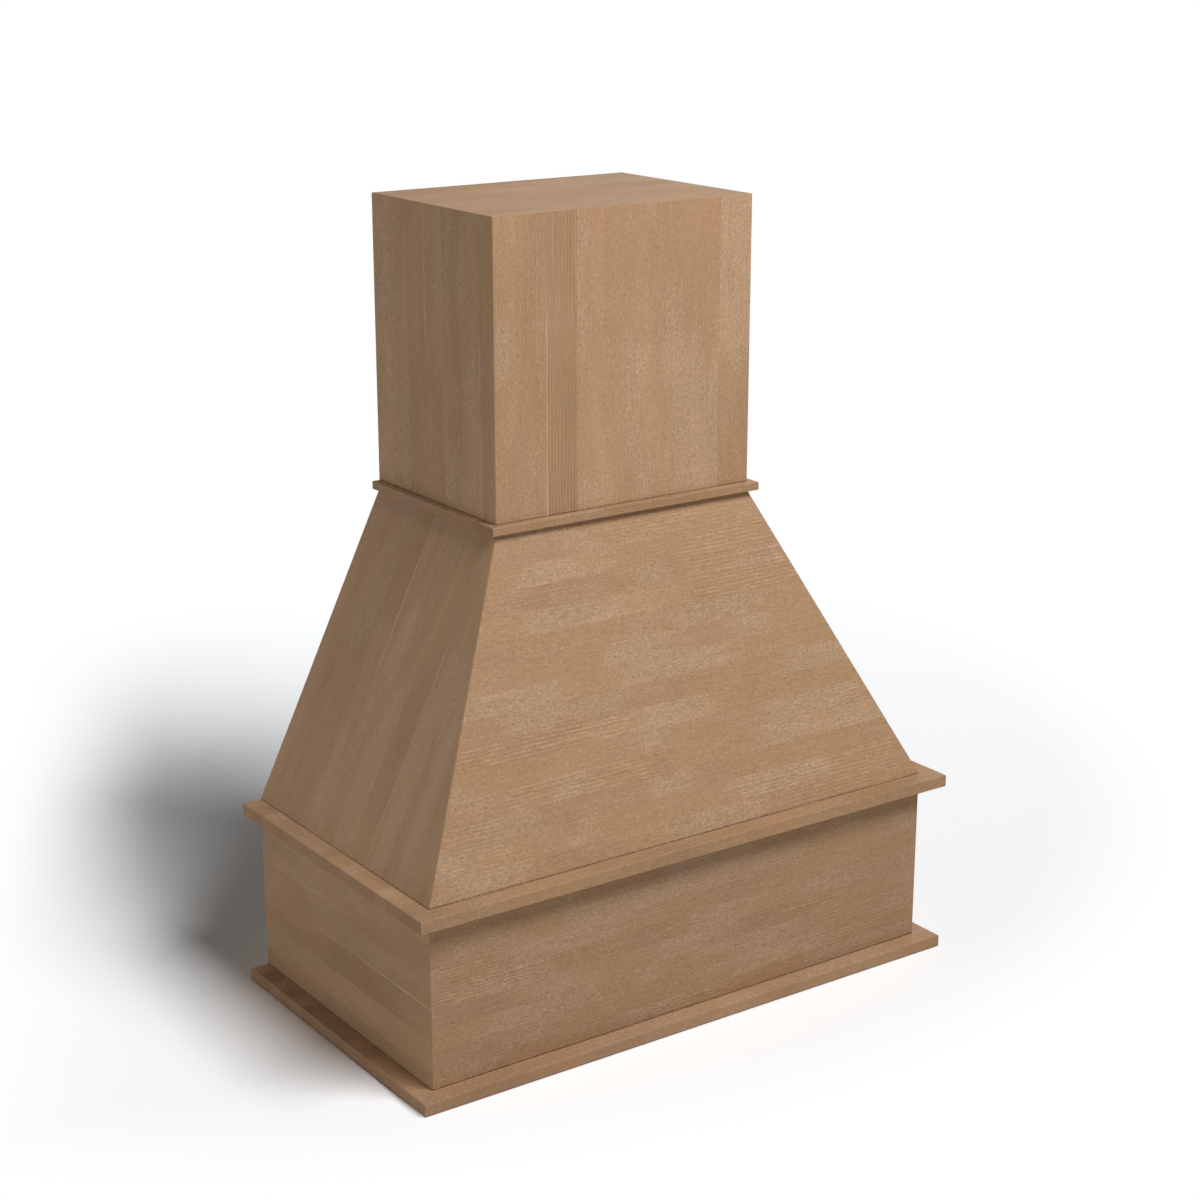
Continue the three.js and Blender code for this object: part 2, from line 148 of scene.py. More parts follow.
# A noise's values lie mostly between 0.3 and 0.7. These are the values between which each thing sets in.
PALE_RANGE = {"From Min": 0.45, "From Max": 0.63}
HUE_RANGE = {"From Min": 0.3, "From Max": 0.7}
SHOWN_RANGE = {"From Min": 0.43, "From Max": 0.58, "To Min": 0.1}
BROKEN_RANGE = {"From Min": 0.32, "From Max": 0.65, "To Min": 0.1}
UNEVEN_RANGE = {"From Min": 0.3, "From Max": 0.6}
RULED_RANGE = {"From Min": 0.4, "From Max": 0.6, "To Min": 0.3}
CURLED_RANGE = {"From Min": 0.4, "From Max": 0.6}
OPEN_RANGE = {"From Min": 0.35, "From Max": 0.6}
CURL_BREADTH = 0.06  # of the noise's values, beside the one that a curl follows
CURL_DIP = -0.4  # the tone between the curls, where a curl's own is 1

# How much each mark changes the light that comes back
FIBRE_DEPTH = 0.22
STREAK_DEPTH = 0.2
CLOUD_DEPTH = 0.1
GRIT_DEPTH = 0.95
BLOCK_DEPTH = 0.4
CURL_DEPTH = 0.09
LINE_DEPTH = 0.15
SMUDGE_DEPTH = 0.05
RULED_DEPTH = 0.075
# The foot line below is partly a real fine joint and partly painted contact shade
SEAM_AND_SHADE_DEPTH = 0.5
JOINT_DEPTH = 0.06

# How much one thing sways another
CLOUD_SWAY = 0.16  # clouds on the pale stretches and the hue
STREAK_SWAY = 0.4  # streaks on the hue
STRETCH_SWAY = 3  # a stretch's own chance on its tone, where its stave's is 1
OTHER_PALE = 3  # a lighter stave also has more of the pale colour
RULED_PALE = -0.3  # and the ruled stave has less of it
RULED_FLECKS = -0.4  # and fewer flecks
FLECK_SHARES = {"To Min": 0.75, "To Max": 1.1}  # outside the pale stretches, and inside them
CUT_RANGE = {"From Min": 0.6, "From Max": 0.9}  # how squarely a face is cut, from where end grain shows
END_DEPTH = 0.45  # how far end grain is on its way to its own colour
EDGE_SHARE = 0.7  # how far a stave's edge is on its way from the face's colour to the end grain's
STAVE_JUMP = 97  # these two give each stave a stretch of its own in the noise
ROW_JUMP = 5.3

WOOD_NUMBERS = ("End", "Ruled", "Lined", "Glue", "Seam", "Other", "Apart", "Shade", "Stave width", "Stretch",
                "Tone", "Patches", "Lines", "Line width", "Flecks")
WOOD_COLOURS = ("Warm", "Yellow", "Pale", "Glue colour", "End colour")


def slow_changes(tree, given, place, count, number, chance):
    """Three chances that change slowly along a stave, or across all of them where they follow each other."""
    run = add(tree, "Math", {"operation": "DIVIDE"}, {0: place["X"], 1: given["Stretch"]})
    own_run = add(tree, "Math", {"operation": "MULTIPLY_ADD"}, {0: chance["Red"], 1: STAVE_JUMP, 2: run})
    row = add(tree, "Math", {"operation": "MULTIPLY"}, {0: number, 1: ROW_JUMP})
    own_stretch = add(tree, "CombineXYZ", {}, {0: own_run, 1: row})
    shared_stretch = add(tree, "CombineXYZ", {}, {0: run, 1: count})
    spot = add(tree, "Mix", {"data_type": "VECTOR"}, {0: given["Apart"], 4: shared_stretch, 5: own_stretch})
    stretch = add(tree, "TexNoise", {"noise_dimensions": "2D"}, {"Vector": spot, "Scale": 1, "Detail": 1})
    return add(tree, "SeparateColor", {}, {0: stretch.outputs["Color"]}).outputs


def stretched_marks(tree, own):
    """The noises of the marks, each stretched along the grain."""
    noise = {}
    for mark, size, detail, distortion in (
        ("fibre", FIBRE, 3, 0), ("streak", STREAK, 2, 0), ("cloud", CLOUD, 2, 0.4), ("curl", CURL, 0, 1.2),
        ("grit", GRIT, 1, 0.8), ("block", BLOCK, 1, 0), ("drift", DRIFT, 1, 0),
    ):
        spot = add(tree, "VectorMath", {"operation": "DIVIDE"}, {0: own, 1: size})
        noise[mark] = add(tree, "TexNoise", {},
                          {"Vector": spot, "Scale": 1, "Detail": detail, "Distortion": distortion})
    return noise


def ground_colour(tree, given, noise, luck):
    """Where the wood is pale, and its colour before any marks, with pale stretches that fade in and out."""
    clouded = add(tree, "MapRange", FREE,
                  {"Value": noise["cloud"], "To Min": -CLOUD_SWAY, "To Max": CLOUD_SWAY})
    wanted = add(tree, "Math", {"operation": "MULTIPLY_ADD"},
                 {0: given["Other"], 1: OTHER_PALE, 2: luck["Red"]})
    unruled = add(tree, "Math", {"operation": "MULTIPLY_ADD"}, {0: given["Ruled"], 1: RULED_PALE, 2: wanted})
    pale_place = add(tree, "Math", {"operation": "ADD"}, {0: unruled, 1: clouded})
    pale = add(tree, "MapRange", SOFT, {"Value": pale_place, **PALE_RANGE})
    pale_share = add(tree, "Math", {"operation": "MULTIPLY"}, {0: pale, 1: given["Patches"]})
    streaked = add(tree, "MapRange", FREE,
                   {"Value": noise["streak"], "To Min": STREAK_SWAY, "To Max": -STREAK_SWAY})
    hue_shift = add(tree, "Math", {"operation": "SUBTRACT"}, {0: streaked, 1: clouded})
    hue_place = add(tree, "Math", {"operation": "ADD"}, {0: luck["Green"], 1: hue_shift})
    hue = add(tree, "MapRange", SOFT, {"Value": hue_place, **HUE_RANGE})
    mixed = add(tree, "Mix", {"data_type": "RGBA"}, {0: hue, 6: given["Warm"], 7: given["Yellow"]})
    patched = add(tree, "Mix", {"data_type": "RGBA"}, {0: pale_share, 6: mixed, 7: given["Pale"]})
    return pale, patched


def growth_lines(tree, given, place, noise, luck, uneven):
    """Growth lines, where the stave was sawn square to the rings, and how far ray flecks let them show."""
    drifted = add(tree, "Math", {"operation": "MULTIPLY_ADD"},
                  {0: noise["drift"], 1: DRIFT_REACH, 2: place["Y"]})
    wandered = add(tree, "Math", {"operation": "MULTIPLY_ADD"},
                   {0: noise["streak"], 1: STREAK_REACH, 2: drifted})
    turns = add(tree, "Math", {"operation": "DIVIDE"}, {0: wandered, 1: given["Line width"]})
    angle = add(tree, "Math", {"operation": "MULTIPLY"}, {0: turns, 1: 2 * math.pi})
    wave = add(tree, "Math", {"operation": "SINE"}, {0: angle})
    shown = add(tree, "MapRange", SOFT, {"Value": luck["Blue"], **SHOWN_RANGE})
    shown_share = add(tree, "Math", {"operation": "MULTIPLY"}, {0: shown, 1: given["Lines"]})
    lined_share = add(tree, "Math", {"operation": "MAXIMUM"}, {0: shown_share, 1: given["Lined"]})
    broken = add(tree, "MapRange", {}, {"Value": noise["block"], **BROKEN_RANGE})
    broken_share = add(tree, "Math", {"operation": "MULTIPLY"}, {0: lined_share, 1: broken})
    faded = add(tree, "MapRange", {}, {"Value": noise["drift"], **RULED_RANGE})
    ruled_fade = add(tree, "Math", {"operation": "MULTIPLY"}, {0: given["Ruled"], 1: faded})
    ruled_share = add(tree, "Math", {"operation": "MULTIPLY"}, {0: ruled_fade, 1: uneven})
    line_share = add(tree, "Math", {"operation": "MAXIMUM"}, {0: broken_share, 1: ruled_share})
    lines = add(tree, "Math", {"operation": "MULTIPLY"}, {0: wave, 1: line_share})
    return broken_share, lines


def pale_curls(tree, noise):
    """Short pale curls, drawn along the contours of a noise."""
    above = add(tree, "Math", {"operation": "SUBTRACT"}, {0: noise["curl"], 1: 0.5})
    contour = add(tree, "Math", {"operation": "ABSOLUTE"}, {0: above})
    thread = add(tree, "MapRange", SOFT,
                 {"Value": contour, "From Max": CURL_BREADTH, "To Min": 1, "To Max": CURL_DIP})
    picked = add(tree, "MapRange", {}, {"Value": noise["grit"], **CURLED_RANGE})
    return add(tree, "Math", {"operation": "MULTIPLY"}, {0: thread, 1: picked})


def soft_smudges(tree, given):
    """A few soft smudges, left by hands and clamps."""
    spot = add(tree, "VectorMath", {"operation": "DIVIDE"}, {0: given["Place"], 1: [SMUDGE_PITCH] * 3})
    cell = add(tree, "TexVoronoi", {"voronoi_dimensions": "3D"}, {"Vector": spot, "Scale": 1})
    size = SMUDGE_SIZE / SMUDGE_PITCH
    return add(tree, "MapRange", SOFT,
               {"Value": cell.outputs["Distance"], "From Min": size / 3, "From Max": 2 * size, **FALLING})


def open_joints(tree, given, count, noise):
    """A thin dark line here and there where two staves meet."""
    nearest = add(tree, "Math", {"operation": "PINGPONG"}, {0: count, 1: 0.5})
    beside = add(tree, "Math", {"operation": "MULTIPLY"}, {0: nearest, 1: given["Stave width"]})
    meeting = add(tree, "MapRange", SOFT,
                  {"Value": beside, "From Min": JOINT_SIZE / 3, "From Max": JOINT_SIZE, **FALLING})
    opened = add(tree, "MapRange", {}, {"Value": noise["cloud"], **OPEN_RANGE})
    return add(tree, "Math", {"operation": "MULTIPLY"}, {0: meeting, 1: opened})


def wood_group():
    """Staves glued edge to edge. Place is in millimetres: x along the grain, y across, z into the wood."""
    tree = bpy.data.node_groups.new("edge_glued_wood", "ShaderNodeTree")
    tree.interface.new_socket("Place", in_out="INPUT", socket_type="NodeSocketVector")
    for name in WOOD_NUMBERS:
        tree.interface.new_socket(name, in_out="INPUT", socket_type="NodeSocketFloat")
    for name in WOOD_COLOURS:
        tree.interface.new_socket(name, in_out="INPUT", socket_type="NodeSocketColor")
    tree.interface.new_socket("Colour", in_out="OUTPUT", socket_type="NodeSocketColor")
    tree.interface.new_socket("Roughness", in_out="OUTPUT", socket_type="NodeSocketFloat")
    tree.interface.new_socket("Height", in_out="OUTPUT", socket_type="NodeSocketFloat")
    given = add(tree, "NodeGroupInput").outputs
    place = add(tree, "SeparateXYZ", {}, {0: given["Place"]}).outputs

    # The stave that a point is in. Apart is 1 where staves were put together at random, and 0 where they
    # follow each other as they were sawn.
    count = add(tree, "Math", {"operation": "DIVIDE"}, {0: place["Y"], 1: given["Stave width"]})
    number = add(tree, "Math", {"operation": "FLOOR"}, {0: count})
    stave = add(tree, "TexWhiteNoise", {"noise_dimensions": "1D"}, {"W": number}).outputs["Color"]
    chance = add(tree, "SeparateColor", {}, {0: stave}).outputs
    shift = add(tree, "VectorMath", {"operation": "MULTIPLY"}, {0: stave, 1: OWN_SHIFT})
    own_shift = add(tree, "VectorMath", {"operation": "SCALE"}, {0: shift, "Scale": given["Apart"]})
    own = add(tree, "VectorMath", {"operation": "ADD"}, {0: own_shift, 1: given["Place"]})

    luck = slow_changes(tree, given, place, count, number, chance)
    noise = stretched_marks(tree, own)
    uneven = add(tree, "MapRange", {}, {"Value": noise["streak"], **UNEVEN_RANGE})
    pale, patched = ground_colour(tree, given, noise, luck)
    broken_share, lines = growth_lines(tree, given, place, noise, luck, uneven)

    # Tone: the stave's own, the stretch's own, and the marks
    stave_tone = add(tree, "MapRange", {}, {"Value": chance["Green"], "To Min": -1, "To Max": 1})
    stretch_tone = add(tree, "MapRange", FREE,
                       {"Value": luck["Blue"], "To Min": STRETCH_SWAY, "To Max": -STRETCH_SWAY})
    tone = add(tree, "Math", {"operation": "ADD"}, {0: stave_tone, 1: stretch_tone})
    # Shade is the panel's level, which also paints in light and shade from panel to panel
    total = add(tree, "Math", {"operation": "MULTIPLY_ADD"}, {0: tone, 1: given["Tone"], 2: given["Shade"]})
    rough_share = add(tree, "MapRange", FREE, {"Value": pale, **FLECK_SHARES})
    smoothed = add(tree, "Math", {"operation": "MULTIPLY_ADD"},
                   {0: given["Ruled"], 1: RULED_FLECKS, 2: rough_share})
    fleck_share = add(tree, "Math", {"operation": "MULTIPLY"}, {0: smoothed, 1: given["Flecks"]})
    for mark, depth, share in (
        ("fibre", FIBRE_DEPTH, 1), ("streak", STREAK_DEPTH, 1), ("cloud", CLOUD_DEPTH, 1),
        ("grit", GRIT_DEPTH, fleck_share), ("block", BLOCK_DEPTH, broken_share),
    ):
        swing = add(tree, "MapRange", FREE, {"Value": noise[mark], "To Min": -depth / 2, "To Max": depth / 2})
        total = add(tree, "Math", {"operation": "MULTIPLY_ADD"}, {0: swing, 1: share, 2: total})
    # Among these, the foot line is partly a real fine joint and partly painted contact shade
    for mark, depth in (
        (pale_curls(tree, noise), CURL_DEPTH), (lines, LINE_DEPTH),
        (soft_smudges(tree, given), -SMUDGE_DEPTH), (open_joints(tree, given, count, noise), -JOINT_DEPTH),
        (given["Ruled"], -RULED_DEPTH), (given["Seam"], -SEAM_AND_SHADE_DEPTH), (given["Other"], 1),
    ):
        total = add(tree, "Math", {"operation": "MULTIPLY_ADD"}, {0: mark, 1: depth, 2: total})
    lit = add(tree, "VectorMath", {"operation": "SCALE"}, {0: patched, "Scale": total})

    # Glue lines are uneven, and end grain drinks more of the seal and is darker
    glue = add(tree, "Math", {"operation": "MULTIPLY"}, {0: given["Glue"], 1: uneven})
    glued = add(tree, "Mix", {"data_type": "RGBA"}, {0: glue, 6: lit, 7: given["Glue colour"]})
    end_share = add(tree, "Math", {"operation": "MULTIPLY"}, {0: given["End"], 1: END_DEPTH})
    colour = add(tree, "Mix", {"data_type": "RGBA"}, {0: end_share, 6: glued, 7: given["End colour"]})
    rough = add(tree, "MapRange", FREE, {"Value": noise["fibre"], **WOOD_ROUGHNESS})
    relief = add(tree, "Math", {"operation": "ADD"}, {0: noise["fibre"], 1: noise["grit"]})
    out = add(tree, "NodeGroupOutput")
    tree.links.new(colour.outputs[2], out.inputs["Colour"])
    tree.links.new(rough.outputs[0], out.inputs["Roughness"])
    tree.links.new(relief.outputs[0], out.inputs["Height"])
    return tree


WOOD = wood_group()


def between(tree, value, low, high, fade):
    """1 where a value lies between two sizes, with soft ends."""
    half = fade / 2
    rise = add(tree, "MapRange", SOFT, {"Value": value, "From Min": low - half, "From Max": low + half})
    fall = add(tree, "MapRange", SOFT,
               {"Value": value, "From Min": high - half, "From Max": high + half, **FALLING})
    return add(tree, "Math", {"operation": "MULTIPLY"}, {0: rise, 1: fall})


def stretches(tree, across, run, places):
    """Adds up stretches of staves, each with a stave's two edges, a range along it, and its weight."""
    total = 0
    for left, right, low, high, weight in places:
        breadth = between(tree, across, left, right, STAVE_FADE)
        length = between(tree, run, low, high, ALONG_FADE)
        weighed = add(tree, "Math", {"operation": "MULTIPLY"}, {0: breadth, 1: weight})
        total = add(tree, "Math", {"operation": "MULTIPLY_ADD"}, {0: weighed, 1: length, 2: total})
    return total


def glue_shown(tree, across, run, joints):
    """Adds up glue lines, each with the joint that it lies on and a range along it."""
    total = 0
    for joint, low, high in joints:
        beside = add(tree, "Math", {"operation": "SUBTRACT"}, {0: across, 1: joint})
        apart = add(tree, "Math", {"operation": "ABSOLUTE"}, {0: beside})
        line = add(tree, "MapRange", SOFT,
                   {"Value": apart, "From Min": GLUE_CORE, "From Max": GLUE_SIZE, **FALLING})
        length = between(tree, run, low, high, ALONG_FADE)
        total = add(tree, "Math", {"operation": "MULTIPLY_ADD"}, {0: line, 1: length, 2: total})
    return total


def end_grain(tree, normal, along, across):
    """1 on a face that cuts the staves' ends, and less on one that runs along a stave's edge."""
    end = 0
    for way, darkness in ((along, 1), (across, EDGE_SHARE)):
        facing = add(tree, "VectorMath", {"operation": "DOT_PRODUCT"}, {0: normal, 1: way})
        size = add(tree, "Math", {"operation": "ABSOLUTE"}, {0: facing.outputs["Value"]})
        cut = add(tree, "MapRange", {}, {"Value": size, **CUT_RANGE, "To Max": darkness})
        end = add(tree, "Math", {"operation": "MAXIMUM"}, {0: cut, 1: end})
    return end


def foot_seam_and_shade(tree, spot, foot):
    """1 in the thin dark line where a panel stands on a board, or the base board on the floor: partly a real
    fine joint, partly painted contact shade.
    """
    height = add(tree, "SeparateXYZ", {}, {0: spot}).outputs["Z"]
    size = SEAM_AND_SHADE_SIZE * MM
    return add(tree, "MapRange", SOFT,
               {"Value": height, "From Min": foot + size / 2, "From Max": foot + size, **FALLING})


def wood_material(name, across, inward, start, tones, looks, across_shift, along_shift=0,
                  ruled=None, glue_lines=(), others=(), lined=(), foot=None):
    """Wood with its staves laid side by side along `across`, from the point `start` on its outer face.

    `ruled` is a stave's two edges, each of `glue_lines` an offset across and a range along the staves,
    `others` and `lined` are stretches that are lighter or darker, or show their growth lines, and `foot`
    is the height where the panel stands on a board, where a thin dark line is drawn that is partly a real
    fine joint and partly painted contact shade.
    """
    across = Vector(across).normalized()
    inward = Vector(inward).normalized()
    along = across.cross(inward)
    turn = Matrix((along, across, inward))
    shift = Vector((along_shift, across_shift, 0))
    made = bpy.data.materials.new(name)
    made.use_nodes = True
    tree = made.node_tree
    spot = add(tree, "TexCoord").outputs
    place = add(tree, "Mapping", {}, {
        "Vector": spot["Object"],
        "Location": shift - turn @ Vector(start) / MM,
        "Rotation": turn.to_euler(),
        "Scale": (1 / MM, 1 / MM, 1 / MM),
    })
    from_start = add(tree, "VectorMath", {"operation": "SUBTRACT"}, {0: place, 1: shift})
    offset = add(tree, "SeparateXYZ", {}, {0: from_start}).outputs
    run = add(tree, "Math", {"operation": "ABSOLUTE"}, {0: offset["X"]})
    inputs = {
        "Place": place,
        "End": end_grain(tree, spot["Normal"], along, across),
        "Glue": glue_shown(tree, offset["Y"], run, glue_lines),
        "Other": stretches(tree, offset["Y"], run, others),
        "Lined": stretches(tree, offset["Y"], run, lined),
    }
    if ruled:
        inputs["Ruled"] = between(tree, offset["Y"], *ruled, STAVE_FADE)
    if foot is not None:
        inputs["Seam"] = foot_seam_and_shade(tree, spot["Object"], foot)
    inputs.update({key.replace("_", " ").capitalize(): value for key, value in looks.items()})
    inputs.update({key: linear(code) for key, code in tones.items()})
    wood = add(tree, "Group", {"node_tree": WOOD}, inputs).outputs
    shader = tree.nodes["Principled BSDF"]
    tree.links.new(wood["Colour"], shader.inputs["Base Color"])
    tree.links.new(wood["Roughness"], shader.inputs["Roughness"])
    bump = add(tree, "Bump", {},
               {"Height": wood["Height"], "Strength": RELIEF_STRENGTH, "Distance": RELIEF_SIZE * MM})
    tree.links.new(bump.outputs["Normal"], shader.inputs["Normal"])
    shader.inputs["IOR"].default_value = WOOD_IOR
    shader.inputs["Specular IOR Level"].default_value = MATT
    return made


ALDER = {"Warm": ALDER_WARM, "Yellow": ALDER_YELLOW, "Pale": ALDER_PALE,
         "Glue colour": ALDER_GLUE, "End colour": ALDER_END}
POPLAR = {"Warm": POPLAR_WARM, "Yellow": POPLAR_YELLOW, "Pale": POPLAR_PALE,
          "Glue colour": POPLAR_GLUE, "End colour": POPLAR_END}


def finish_node(name, material):
    """Gives a CAD node its material."""
    slots = frame["nodes"][name].data.materials
    slots.clear()
    slots.append(material)


# ---------------------------------------------------------------- panels and boards

# Corners of the stacked sections, from the frame
CHIMNEY_LOW, CHIMNEY_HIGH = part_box("chimney_front_panel")
CANOPY_LOW, CANOPY_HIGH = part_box("canopy_front_panel")
APRON_LOW, APRON_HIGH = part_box("apron_front_panel")
WALL_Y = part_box("shelf_board")[1].y

# Ways in which staves are laid side by side, and ways from an outer face into its wood
CANOPY_RISE = CANOPY_HIGH.z - CANOPY_LOW.z
SIDE_RUN = CANOPY_HIGH.x - CHIMNEY_HIGH.x
FRONT_RUN = CHIMNEY_LOW.y - CANOPY_LOW.y
TOWARDS_FRONT = (0, -1, 0)
TOWARDS_RIGHT = (1, 0, 0)
DOWN = (0, 0, -1)
DOWN_CANOPY = (0, -FRONT_RUN, -CANOPY_RISE)
FROM_FRONT = (0, 1, 0)
FROM_LEFT = (1, 0, 0)
FROM_RIGHT = (-1, 0, 0)
FROM_FRONT_SLOPE = (0, CANOPY_RISE, -FRONT_RUN)
FROM_LEFT_SLOPE = (CANOPY_RISE, 0, -SIDE_RUN)
FROM_RIGHT_SLOPE = (-CANOPY_RISE, 0, -SIDE_RUN)

# Points on the outer faces, from which their staves are laid
CHIMNEY_LEFT = (CHIMNEY_LOW.x, WALL_Y, CHIMNEY_LOW.z)
CHIMNEY_RIGHT = (CHIMNEY_HIGH.x, WALL_Y, CHIMNEY_LOW.z)
CHIMNEY_TOP = (CHIMNEY_LOW.x, WALL_Y, CHIMNEY_HIGH.z)
CANOPY_FRONT = (CANOPY_LOW.x, CHIMNEY_LOW.y, CANOPY_HIGH.z)
CANOPY_LEFT = (CHIMNEY_LOW.x, WALL_Y, CANOPY_HIGH.z)
CANOPY_RIGHT = (CHIMNEY_HIGH.x, WALL_Y, CANOPY_HIGH.z)
SHELF_MIDDLE = (0, WALL_Y, CANOPY_LOW.z)
APRON_FRONT = (APRON_LOW.x, APRON_LOW.y, APRON_HIGH.z)
APRON_LEFT = (APRON_LOW.x, WALL_Y, APRON_HIGH.z)
APRON_RIGHT = (APRON_HIGH.x, WALL_Y, APRON_HIGH.z)
BASE_MIDDLE = (0, WALL_Y, APRON_LOW.z)

# How a panel's staves look: whether they were put together at random, how light they are (a level that also
# paints in light and shade from panel to panel: darker on the apron and its sides, low down where the key
# lamp's light falls off, and lighter on the chimney's sides), how many millimetres it takes until they
# change, how much their tone differs, and how much they show of the pale stretches, the growth lines and
# the flecks
UPRIGHT = {"apart": 0, "shade": 1.02, "stretch": 220, "tone": 0.03, "patches": 0.5,
           "lines": 0.4, "line_width": 5.25, "flecks": 1}
SLOPE = {"apart": 1, "shade": 0.97, "stretch": 210, "tone": 0.01, "patches": 0.55,
         "lines": 0.25, "line_width": 5.7, "flecks": 1}
# The apron's darker level is painted shade, for the key lamp's light that falls off towards the floor
LEVEL = dict(SLOPE, shade=0.865, patches=0.5, flecks=0.9, line_width=5.4)
BOARD = dict(SLOPE, shade=0.97, tone=0.06, patches=0.5, lines=0.6)
LID = dict(BOARD, shade=1, tone=0.06, patches=0.15)
SIDE = {"apart": 0, "shade": 1.04, "stretch": 260, "tone": 0.04, "patches": 0.35,
        "lines": 0.2, "line_width": 5.25, "flecks": 0.6}
# The chimney's sides get a lighter level, a painted light, and the apron's sides a darker one, a painted
# shade
HIGH_SIDE = dict(SIDE, shade=1.08, tone=0.05, lines=0.4, flecks=1)
LOW_SIDE = dict(SIDE, shade=0.94)

# Which way the staves lie side by side, which way is into the wood, a point on the face, the width of a
# stave, how far the first joint is from that point, and the look
PANELS = {
    "chimney_front_panel": (TOWARDS_RIGHT, FROM_FRONT, CHIMNEY_LOW, 48.7, 35.3, UPRIGHT),
    "chimney_left_panel": (TOWARDS_FRONT, FROM_LEFT, CHIMNEY_LEFT, 46.4, 44.9, HIGH_SIDE),
    "chimney_right_panel": (TOWARDS_FRONT, FROM_RIGHT, CHIMNEY_RIGHT, 46.4, 44.9, HIGH_SIDE),
    "chimney_top_panel": (TOWARDS_FRONT, DOWN, CHIMNEY_TOP, 46, 15, LID),
    "collar_board": (TOWARDS_FRONT, DOWN, CHIMNEY_LEFT, 46, 0, BOARD),
    "canopy_front_panel": (DOWN_CANOPY, FROM_FRONT_SLOPE, CANOPY_FRONT, 32.3, 14.7, SLOPE),
    "canopy_left_panel": (TOWARDS_FRONT, FROM_LEFT_SLOPE, CANOPY_LEFT, 46.6, 22.8, SIDE),
    "canopy_right_panel": (TOWARDS_FRONT, FROM_RIGHT_SLOPE, CANOPY_RIGHT, 46.6, 22.8, SIDE),
    "shelf_board": (TOWARDS_FRONT, DOWN, SHELF_MIDDLE, 32, 28.4, BOARD),
    "apron_front_panel": (DOWN, FROM_FRONT, APRON_FRONT, 30, 8.7, LEVEL),
    "apron_left_panel": (DOWN, FROM_LEFT, APRON_LEFT, 47.5, 30, LOW_SIDE),
    "apron_right_panel": (DOWN, FROM_RIGHT, APRON_RIGHT, 47.5, 30, LOW_SIDE),
    "base_board": (TOWARDS_FRONT, DOWN, BASE_MIDDLE, 32, 28.4, BOARD),
}
# These get no dark foot line, which is partly painted contact shade
NO_SEAM_OR_SHADE = ("chimney_top_panel", "collar_board", "shelf_board")  # stand on no board
RULED_STAVES = {"chimney_front_panel": (84, 132.7)}  # its two edges, from the panel's left edge
# Joints whose glue shows as a pale line: how far across the joint is, and from where to where it shows
GLUE_LINES = {
    "chimney_front_panel": ((84, -60, 290),),
    "chimney_top_panel": ((245, -60, 285),),
    "chimney_side": ((137.5, 230, 470), (277.5, -60, 250)),
    "canopy_side": ((162.5, -60, 240), (302.5, 165, 550)),
    "apron_side": ((125, 160, 540),),
}
# Staves that stand out: their edges, from where to where along the grain, and how much lighter they are
BOARD_STAVES = (
    (28.4, 60.4, 380, 520, -0.04), (60.4, 92.4, 380, 520, 0.02), (92.4, 124.4, 380, 520, -0.05),
    (124.4, 156.4, 380, 520, 0.02), (252.4, 284.4, 380, 520, -0.03), (284.4, 316.4, 380, 520, 0.03),
    (348.4, 412.4, 380, 520, 0.03),
)
OTHER_STAVES = {
    "shelf_board": BOARD_STAVES,
    "base_board": BOARD_STAVES,
    "chimney_top_panel": (
        (15, 61, -60, 130, -0.03), (61, 107, 250, 490, 0.04), (107, 153, -60, 330, -0.04),
        (199, 245, -60, 150, 0.03), (245, 291, -60, 240, -0.02),
    ),
    "chimney_front_panel": (
        (0, 35.3, -60, 350, -0.04), (35.3, 84, 120, 470, -0.05), (84, 132.7, -60, 200, -0.03),
        (84, 132.7, -60, 500, -0.02), (132.7, 376.2, -60, 220, 0.03), (181.4, 376.2, 300, 470, -0.02),
        (376.2, 440, 190, 470, 0.07), (376.2, 440, -60, 190, -0.05),
    ),
    "canopy_front_panel": (
        (47, 79.3, 190, 400, 0.015), (79.3, 111.6, 235, 505, -0.03), (111.6, 143.9, 335, 505, 0.03),
        (143.9, 176.2, 455, 600, -0.02), (208.5, 240.8, 120, 253, 0.025), (208.5, 240.8, 467, 593, 0.025),
        (240.8, 273.1, 267, 513, -0.03), (273.1, 305.4, 375, 535, 0.03), (273.1, 305.4, 535, 770, -0.03),
        (305.4, 337.7, 220, 425, 0.015), (337.7, 370, 600, 800, 0.025), (370, 402.3, 40, 373, -0.025),
        (370, 402.3, 467, 820, -0.03), (434.6, 470, 20, 147, 0.025),
    ),
    "apron_front_panel": (
        (38.7, 68.7, 133, 360, 0.025), (98.7, 128.7, 193, 400, -0.028), (128.7, 158.7, 127, 413, 0.025),
        (128.7, 158.7, 467, 587, -0.02), (158.7, 188.7, 20, 153, 0.028), (158.7, 188.7, 667, 833, 0.02),
        (188.7, 218.7, 500, 640, 0.028),
    ),
    "chimney_side": (
        (0, 91.3, -60, 470, 0.03), (91.3, 184.1, -60, 190, -0.07), (91.3, 137.7, 190, 470, -0.05),
        (184.1, 276.9, -60, 185, 0.05), (184.1, 230.5, 200, 400, -0.03), (276.9, 330, -60, 120, 0.04),
    ),
    "canopy_side": (
        (0, 116, -60, 200, 0.02), (116, 162.6, -60, 170, -0.07), (209.2, 255.8, 230, 550, 0.06),
        (255.8, 302.4, 190, 430, -0.07), (302.4, 349, 240, 550, 0.04),
    ),
    "apron_side": (
        (77.5, 125, -60, 150, -0.04), (125, 172.5, 190, 400, -0.07), (172.5, 220, 220, 540, 0.03),
    ),
}
